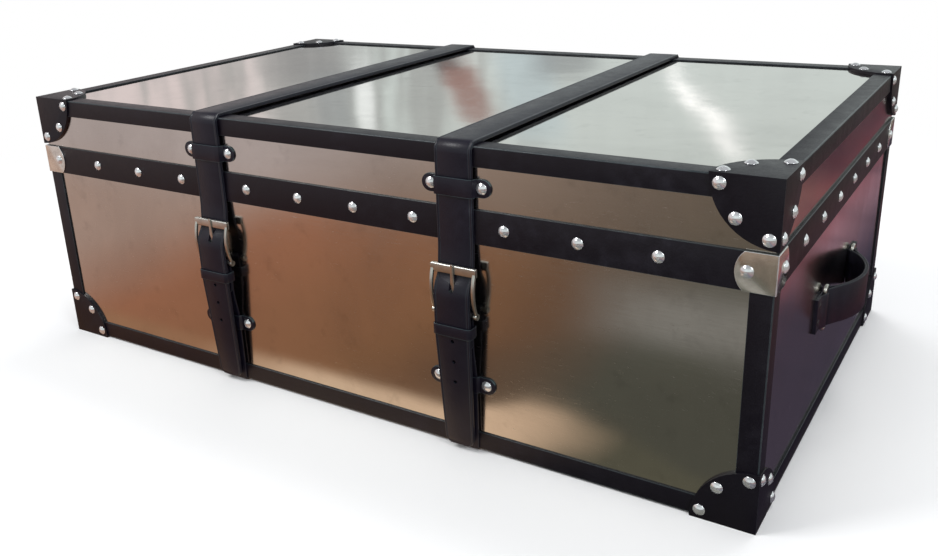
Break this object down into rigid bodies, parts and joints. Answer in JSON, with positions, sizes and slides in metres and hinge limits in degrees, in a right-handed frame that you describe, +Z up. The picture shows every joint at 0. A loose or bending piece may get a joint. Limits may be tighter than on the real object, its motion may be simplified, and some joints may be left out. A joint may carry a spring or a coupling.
{
  "type": "steamer trunk",
  "caption": "Flat-topped steamer trunk with metal-skinned sides, leather-bound edges, a hinged lid, buckled straps and an end handle on each side.",
  "frame": {"origin": "middle of the base, at the height of the corner caps' lower faces", "axes": "+X along the trunk to its right end, -Y out of the front with the buckles, +Z up"},
  "size_m": [1.076, 0.6343, 0.3592],
  "materials": {
    "plywood": "sanded",
    "sheet_metal": "satin polished",
    "lining_cloth": "woven",
    "trim_leather": "grained, semi-gloss",
    "strap_leather": "grained, semi-gloss",
    "nickel": "polished",
    "hinge_steel": "polished",
    "black_rivet": "gloss"
  },
  "bodies": {
    "case": {"case_floor_board": "plywood", "case_front_board": "plywood", "case_back_board": "plywood", "case_end_boards": "plywood", "case_lip": "plywood", "case_bottom_sheet": "sheet_metal", "case_front_sheet": "sheet_metal", "case_back_sheet": "sheet_metal", "case_end_sheets": "sheet_metal", "case_lining": "lining_cloth", "case_bottom_bindings": "trim_leather", "case_corner_bindings": "trim_leather", "case_corner_caps": "trim_leather", "case_cap_nails": "nickel", "lower_loops": "strap_leather", "lower_loop_nails": "nickel", "chape_left": "strap_leather", "chape_right": "strap_leather", "keepers": "strap_leather", "handle_left": "strap_leather", "handle_right": "strap_leather", "handle_rings": "nickel", "handle_tabs": "strap_leather", "handle_rivets": "black_rivet", "hinge_case_leaves": "hinge_steel", "hinge_case_screws": "hinge_steel", "hinge_pins": "hinge_steel"},
    "lid": {"hinge_lid_leaves": "hinge_steel", "hinge_lid_screws": "hinge_steel", "lid_top_board": "plywood", "lid_front_board": "plywood", "lid_back_board": "plywood", "lid_end_boards": "plywood", "lid_top_sheet": "sheet_metal", "lid_front_sheet": "sheet_metal", "lid_back_sheet": "sheet_metal", "lid_end_sheets": "sheet_metal", "lid_lining": "lining_cloth", "lid_bindings": "trim_leather", "lid_corner_caps": "trim_leather", "lid_cap_nails": "nickel", "band_front": "trim_leather", "band_back": "trim_leather", "band_ends": "trim_leather", "band_nails": "nickel", "corner_clips": "nickel", "upper_loops": "strap_leather", "upper_loop_nails": "nickel", "strap_left": "strap_leather", "strap_right": "strap_leather", "strap_anchor_nails": "nickel"},
    "strap_tail_left": {"strap_tail_left": "strap_leather"},
    "strap_tail_right": {"strap_tail_right": "strap_leather"},
    "buckle_left": {"buckle_frame_left": "nickel"},
    "buckle_right": {"buckle_frame_right": "nickel"},
    "prong_left": {"buckle_prong_left": "nickel"},
    "prong_right": {"buckle_prong_right": "nickel"}
  },
  "joints": [
    {"name": "lid_hinge", "type": "hinge", "parent": "case", "child": "lid", "pos_m": [0, 0.3053, 0.24875], "axis": [-1, 0, 0], "range_deg": [0, 95]},
    {"name": "strap_tail_left_bend", "type": "hinge", "parent": "lid", "child": "strap_tail_left", "pos_m": [-0.179, -0.30575, 0.243], "axis": [1, 0, 0], "range_deg": [0, 95], "deforming": ["strap_tail_left"]},
    {"name": "strap_tail_right_bend", "type": "hinge", "parent": "lid", "child": "strap_tail_right", "pos_m": [0.179, -0.30575, 0.243], "axis": [1, 0, 0], "range_deg": [0, 95], "deforming": ["strap_tail_right"]},
    {"name": "buckle_left_swing", "type": "hinge", "parent": "case", "child": "buckle_left", "pos_m": [-0.179, -0.3122, 0.17], "axis": [1, 0, 0], "range_deg": [0, 75]},
    {"name": "buckle_right_swing", "type": "hinge", "parent": "case", "child": "buckle_right", "pos_m": [0.179, -0.3122, 0.17], "axis": [1, 0, 0], "range_deg": [0, 75]},
    {"name": "prong_left_swing", "type": "hinge", "parent": "buckle_left", "child": "prong_left", "pos_m": [-0.179, -0.3122, 0.17], "axis": [1, 0, 0], "range_deg": [0, 45]},
    {"name": "prong_right_swing", "type": "hinge", "parent": "buckle_right", "child": "prong_right", "pos_m": [0.179, -0.3122, 0.17], "axis": [1, 0, 0], "range_deg": [0, 45]}
  ],
  "couplings": [
    {"joint": "strap_tail_left_bend", "follows": "lid_hinge", "ratio": 1},
    {"joint": "strap_tail_right_bend", "follows": "lid_hinge", "ratio": 1}
  ]
}
